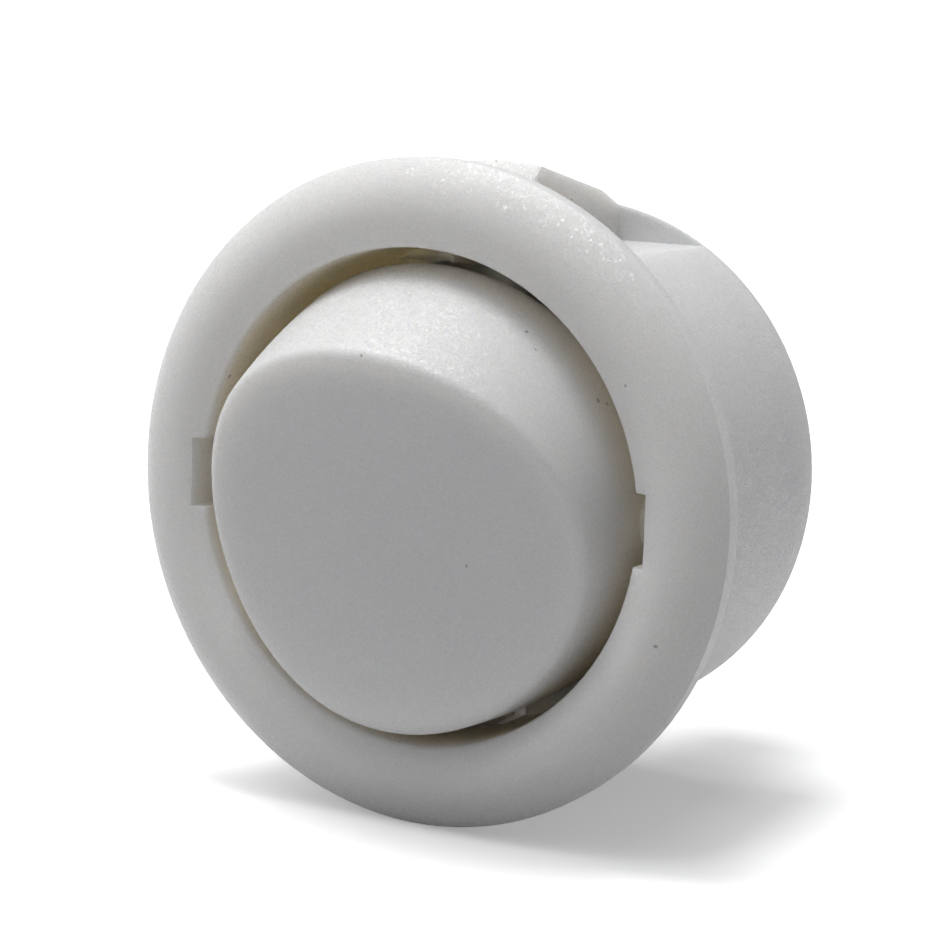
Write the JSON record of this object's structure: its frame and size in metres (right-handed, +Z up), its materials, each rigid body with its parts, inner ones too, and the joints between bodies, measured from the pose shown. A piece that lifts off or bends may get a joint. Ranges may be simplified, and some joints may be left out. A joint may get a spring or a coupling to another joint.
{
  "type": "round rocker light switch",
  "caption": "Round snap-in rocker light switch with a domed button, a panel flange, snap wings and push-on tabs behind.",
  "frame": {"origin": "centre of the flange's seating face, where the barrel enters the panel", "axes": "+Y goes back through the panel along the barrel, +Z is up with the snap wings above and below, X runs along the rocker's pivot"},
  "size_m": [0.027, 0.0255, 0.027],
  "materials": {
    "white_moulding": "fine spark-eroded grain, matt",
    "base_moulding": "matt",
    "plunger_moulding": "smooth, natural",
    "spring_steel": "drawn wire",
    "copper_strip": "rolled copper alloy strip",
    "silver": "satin silver alloy",
    "tinned_brass": "tinned"
  },
  "bodies": {
    "housing": {"housing": "white_moulding", "rear_base": "base_moulding", "fixed_contact_left": "silver", "common_terminal_left": "tinned_brass", "load_terminal_left": "tinned_brass", "fixed_contact_right": "silver", "common_terminal_right": "tinned_brass", "load_terminal_right": "tinned_brass"},
    "rocker": {"rocker": "white_moulding", "plunger_spring_left": "spring_steel", "plunger_spring_right": "spring_steel"},
    "plunger_left": {"plunger_left": "plunger_moulding"},
    "contact_lever_left": {"contact_lever_left": "copper_strip", "lever_contact_left": "silver"},
    "plunger_right": {"plunger_right": "plunger_moulding"},
    "contact_lever_right": {"contact_lever_right": "copper_strip", "lever_contact_right": "silver"}
  },
  "joints": [
    {"name": "rocker_tilt", "type": "hinge", "parent": "housing", "child": "rocker", "pos_m": [0, 0.0015, 0], "axis": [-1, 0, 0], "range_deg": [0, 25.6]},
    {"name": "plunger_travel_left", "type": "slide", "parent": "rocker", "child": "plunger_left", "axis": [0, -0.9751, -0.2215], "range_m": [0, 0.0005], "stiffness_N_per_m": 300, "springref_m": -0.001, "deforming": ["plunger_spring_left"]},
    {"name": "lever_tilt_left", "type": "hinge", "parent": "housing", "child": "contact_lever_left", "pos_m": [-0.0044, 0.0074, 0], "axis": [1, 0, 0], "range_deg": [0, 22]},
    {"name": "plunger_travel_right", "type": "slide", "parent": "rocker", "child": "plunger_right", "axis": [0, -0.9751, -0.2215], "range_m": [0, 0.0005], "stiffness_N_per_m": 300, "springref_m": -0.001, "deforming": ["plunger_spring_right"]},
    {"name": "lever_tilt_right", "type": "hinge", "parent": "housing", "child": "contact_lever_right", "pos_m": [0.0044, 0.0074, 0], "axis": [1, 0, 0], "range_deg": [0, 22]}
  ],
  "couplings": [
    {"joint": "lever_tilt_left", "follows": "rocker_tilt", "ratio": 0.85938},
    {"joint": "lever_tilt_right", "follows": "rocker_tilt", "ratio": 0.85938}
  ]
}
